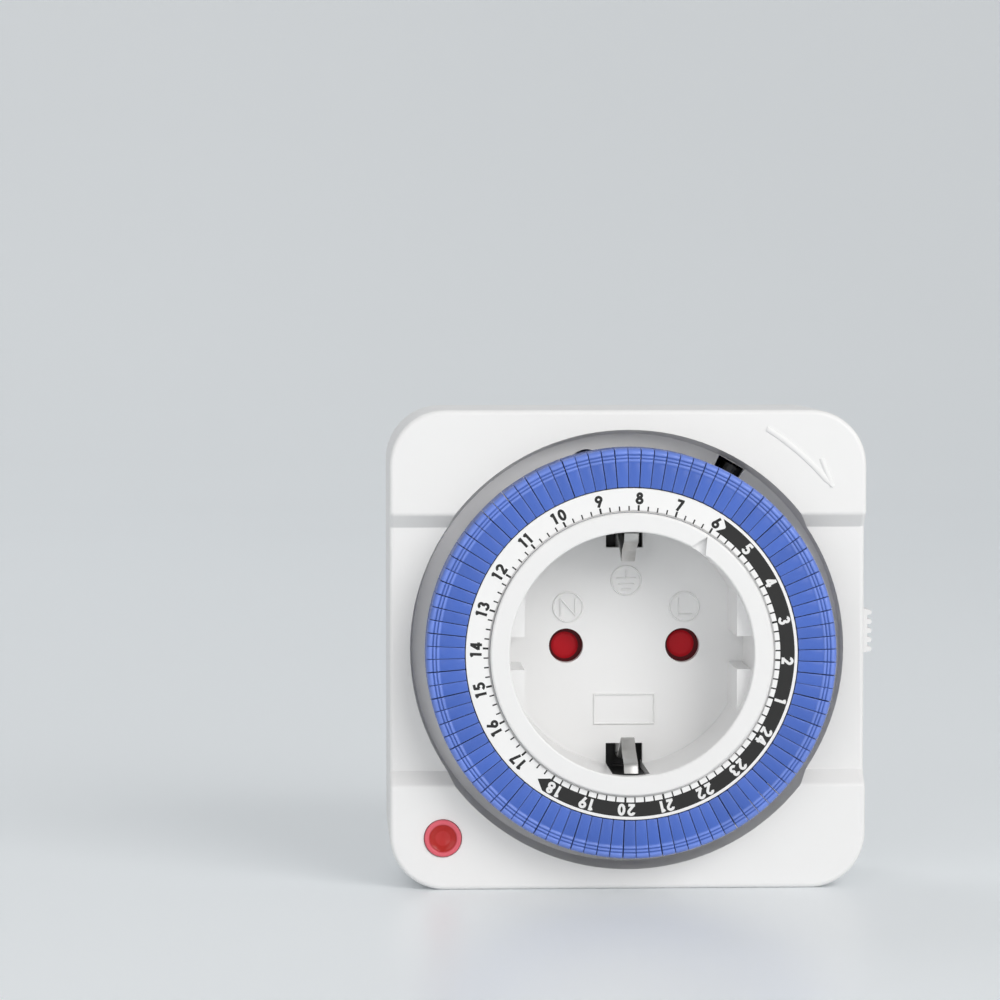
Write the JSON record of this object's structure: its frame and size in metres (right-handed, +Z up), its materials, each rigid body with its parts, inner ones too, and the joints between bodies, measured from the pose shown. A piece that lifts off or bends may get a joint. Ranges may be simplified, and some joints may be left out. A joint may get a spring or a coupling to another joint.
{
  "type": "plug-in timer switch",
  "caption": "Mechanical plug-in timer: square housing with a plug behind and a socket in front, ringed by a turning day dial whose blue tappets press in to set when the socket is live.",
  "frame": {"origin": "middle of the face of the plug that seats in the wall socket, between the two pins", "axes": "+Y is the way the plug's pins point, +Z is up, +X is to the right seen from the dial's side, so the dial faces -Y"},
  "size_m": [0.0792, 0.075, 0.0774],
  "materials": {
    "white_housing": "white moulded plastic with a fine satin grain",
    "white_insert": "white moulded plastic, slightly glossier than the housing",
    "white_slider": "white moulded plastic",
    "blue_tappet": "bright blue moulded plastic, soft gloss",
    "blue_dial": "darker blue moulded plastic",
    "number_ring": "white plastic ring with black printed hours and quarter marks",
    "white_gear": "natural acetal, semi-matt",
    "black_gear": "black acetal",
    "black_plastic": "black moulded plastic",
    "red_shutter": "dark red moulded plastic",
    "red_plunger": "red moulded plastic",
    "red_lens": "translucent red lens",
    "clear_glass": "clear glass bulb",
    "resistor_coat": "tan coated resistor",
    "brown_lead": "brown insulation",
    "blue_lead": "blue insulation",
    "brass": "stamped brass",
    "nickel_strip": "nickel-plated spring strip",
    "nickel_pin": "nickel-plated brass pin",
    "zinc_steel": "zinc-plated steel",
    "spring_steel": "spring steel",
    "motor_can": "drawn metal motor can"
  },
  "bodies": {
    "housing": {"front_housing": "white_housing", "rear_cover": "white_housing", "housing_screws": "zinc_steel", "inner_screws": "zinc_steel", "socket_insert": "white_insert", "shutter_spring": "spring_steel", "contact_carrier": "black_plastic", "line_contact": "brass", "neutral_contact": "brass", "earth_strap": "nickel_strip", "plug_earth_contact": "nickel_strip", "line_pin": "nickel_pin", "neutral_pin": "nickel_pin", "pin_carrier": "black_plastic", "gear_spindle": "zinc_steel", "motor_bracket": "zinc_steel", "motor_case": "motor_can", "switch_case": "black_plastic", "switch_terminals": "brass", "feeler_pin": "zinc_steel", "feeler_spring": "spring_steel", "slider_spring": "spring_steel", "lamp_lens": "red_lens", "neon_lamp": "clear_glass", "lamp_resistor": "resistor_coat", "switch_leads": "brown_lead", "motor_leads": "blue_lead"},
    "dial": {"dial_carrier": "blue_dial", "number_ring": "number_ring", "dial_gear": "white_gear"},
    "tappets_hour_01": {"tappets_hour_01": "blue_tappet"},
    "tappets_hour_02": {"tappets_hour_02": "blue_tappet"},
    "tappets_hour_03": {"tappets_hour_03": "blue_tappet"},
    "tappets_hour_04": {"tappets_hour_04": "blue_tappet"},
    "tappets_hour_05": {"tappets_hour_05": "blue_tappet"},
    "tappets_hour_06": {"tappets_hour_06": "blue_tappet"},
    "tappets_hour_07": {"tappets_hour_07": "blue_tappet"},
    "tappets_hour_08": {"tappets_hour_08": "blue_tappet"},
    "tappets_hour_09": {"tappets_hour_09": "blue_tappet"},
    "tappets_hour_10": {"tappets_hour_10": "blue_tappet"},
    "tappets_hour_11": {"tappets_hour_11": "blue_tappet"},
    "tappets_hour_12": {"tappets_hour_12": "blue_tappet"},
    "tappets_hour_13": {"tappets_hour_13": "blue_tappet"},
    "tappets_hour_14": {"tappets_hour_14": "blue_tappet"},
    "tappets_hour_15": {"tappets_hour_15": "blue_tappet"},
    "tappets_hour_16": {"tappets_hour_16": "blue_tappet"},
    "tappets_hour_17": {"tappets_hour_17": "blue_tappet"},
    "tappets_hour_18": {"tappets_hour_18": "blue_tappet"},
    "tappets_hour_19": {"tappets_hour_19": "blue_tappet"},
    "tappets_hour_20": {"tappets_hour_20": "blue_tappet"},
    "tappets_hour_21": {"tappets_hour_21": "blue_tappet"},
    "tappets_hour_22": {"tappets_hour_22": "blue_tappet"},
    "tappets_hour_23": {"tappets_hour_23": "blue_tappet"},
    "tappets_hour_24": {"tappets_hour_24": "blue_tappet"},
    "reduction_gear": {"reduction_gear": "black_gear"},
    "motor_rotor": {"motor_rotor": "white_gear"},
    "feeler_lever": {"feeler_lever": "black_plastic"},
    "switch_plunger": {"switch_plunger": "red_plunger"},
    "override_slider": {"override_slider": "white_slider"},
    "socket_shutter": {"socket_shutter": "red_shutter"}
  },
  "joints": [
    {"name": "dial_turn", "type": "hinge", "parent": "housing", "child": "dial", "pos_m": [0, 0, 0], "axis": [0, 1, 0], "continuous": true},
    {"name": "press_hour_01", "type": "slide", "parent": "dial", "child": "tappets_hour_01", "axis": [0, 1, 0], "range_m": [0, 0.003]},
    {"name": "press_hour_02", "type": "slide", "parent": "dial", "child": "tappets_hour_02", "axis": [0, 1, 0], "range_m": [0, 0.003]},
    {"name": "press_hour_03", "type": "slide", "parent": "dial", "child": "tappets_hour_03", "axis": [0, 1, 0], "range_m": [0, 0.003]},
    {"name": "press_hour_04", "type": "slide", "parent": "dial", "child": "tappets_hour_04", "axis": [0, 1, 0], "range_m": [0, 0.003]},
    {"name": "press_hour_05", "type": "slide", "parent": "dial", "child": "tappets_hour_05", "axis": [0, 1, 0], "range_m": [0, 0.003]},
    {"name": "press_hour_06", "type": "slide", "parent": "dial", "child": "tappets_hour_06", "axis": [0, 1, 0], "range_m": [0, 0.003]},
    {"name": "press_hour_07", "type": "slide", "parent": "dial", "child": "tappets_hour_07", "axis": [0, 1, 0], "range_m": [0, 0.003]},
    {"name": "press_hour_08", "type": "slide", "parent": "dial", "child": "tappets_hour_08", "axis": [0, 1, 0], "range_m": [0, 0.003]},
    {"name": "press_hour_09", "type": "slide", "parent": "dial", "child": "tappets_hour_09", "axis": [0, 1, 0], "range_m": [0, 0.003]},
    {"name": "press_hour_10", "type": "slide", "parent": "dial", "child": "tappets_hour_10", "axis": [0, 1, 0], "range_m": [0, 0.003]},
    {"name": "press_hour_11", "type": "slide", "parent": "dial", "child": "tappets_hour_11", "axis": [0, 1, 0], "range_m": [0, 0.003]},
    {"name": "press_hour_12", "type": "slide", "parent": "dial", "child": "tappets_hour_12", "axis": [0, 1, 0], "range_m": [0, 0.003]},
    {"name": "press_hour_13", "type": "slide", "parent": "dial", "child": "tappets_hour_13", "axis": [0, 1, 0], "range_m": [0, 0.003]},
    {"name": "press_hour_14", "type": "slide", "parent": "dial", "child": "tappets_hour_14", "axis": [0, 1, 0], "range_m": [0, 0.003]},
    {"name": "press_hour_15", "type": "slide", "parent": "dial", "child": "tappets_hour_15", "axis": [0, 1, 0], "range_m": [0, 0.003]},
    {"name": "press_hour_16", "type": "slide", "parent": "dial", "child": "tappets_hour_16", "axis": [0, 1, 0], "range_m": [0, 0.003]},
    {"name": "press_hour_17", "type": "slide", "parent": "dial", "child": "tappets_hour_17", "axis": [0, 1, 0], "range_m": [0, 0.003]},
    {"name": "press_hour_18", "type": "slide", "parent": "dial", "child": "tappets_hour_18", "axis": [0, 1, 0], "range_m": [0, 0.003]},
    {"name": "press_hour_19", "type": "slide", "parent": "dial", "child": "tappets_hour_19", "axis": [0, 1, 0], "range_m": [0, 0.003]},
    {"name": "press_hour_20", "type": "slide", "parent": "dial", "child": "tappets_hour_20", "axis": [0, 1, 0], "range_m": [0, 0.003]},
    {"name": "press_hour_21", "type": "slide", "parent": "dial", "child": "tappets_hour_21", "axis": [0, 1, 0], "range_m": [0, 0.003]},
    {"name": "press_hour_22", "type": "slide", "parent": "dial", "child": "tappets_hour_22", "axis": [0, 1, 0], "range_m": [0, 0.003]},
    {"name": "press_hour_23", "type": "slide", "parent": "dial", "child": "tappets_hour_23", "axis": [0, 1, 0], "range_m": [0, 0.003]},
    {"name": "press_hour_24", "type": "slide", "parent": "dial", "child": "tappets_hour_24", "axis": [0, 1, 0], "range_m": [0, 0.003]},
    {"name": "reduction_turn", "type": "hinge", "parent": "housing", "child": "reduction_gear", "pos_m": [-0.0058, 0, 0.02637], "axis": [0, 1, 0], "continuous": true},
    {"name": "motor_turn", "type": "hinge", "parent": "housing", "child": "motor_rotor", "pos_m": [-0.0126, 0, 0.02637], "axis": [0, 1, 0], "continuous": true},
    {"name": "feeler_rock", "type": "hinge", "parent": "housing", "child": "feeler_lever", "pos_m": [0.0113, -0.0385, -0.00643], "axis": [-0.4947, 0, -0.8691], "range_deg": [-6.2, 0], "stiffness_Nm_per_rad": 0.002},
    {"name": "plunger_slide", "type": "slide", "parent": "housing", "child": "switch_plunger", "axis": [0, 1, 0], "range_m": [-0.00066, 0]},
    {"name": "override_slide", "type": "slide", "parent": "housing", "child": "override_slider", "axis": [0, 0, -1], "range_m": [0, 0.0044]},
    {"name": "shutter_turn", "type": "hinge", "parent": "housing", "child": "socket_shutter", "pos_m": [0, -0.035, 0], "axis": [0, 1, 0], "range_deg": [0, 45], "stiffness_Nm_per_rad": 0.002}
  ],
  "couplings": [
    {"joint": "reduction_turn", "follows": "dial_turn", "ratio": -8},
    {"joint": "motor_turn", "follows": "dial_turn", "ratio": 19.2},
    {"joint": "plunger_slide", "follows": "feeler_rock", "m_per_rad": 0.006}
  ]
}
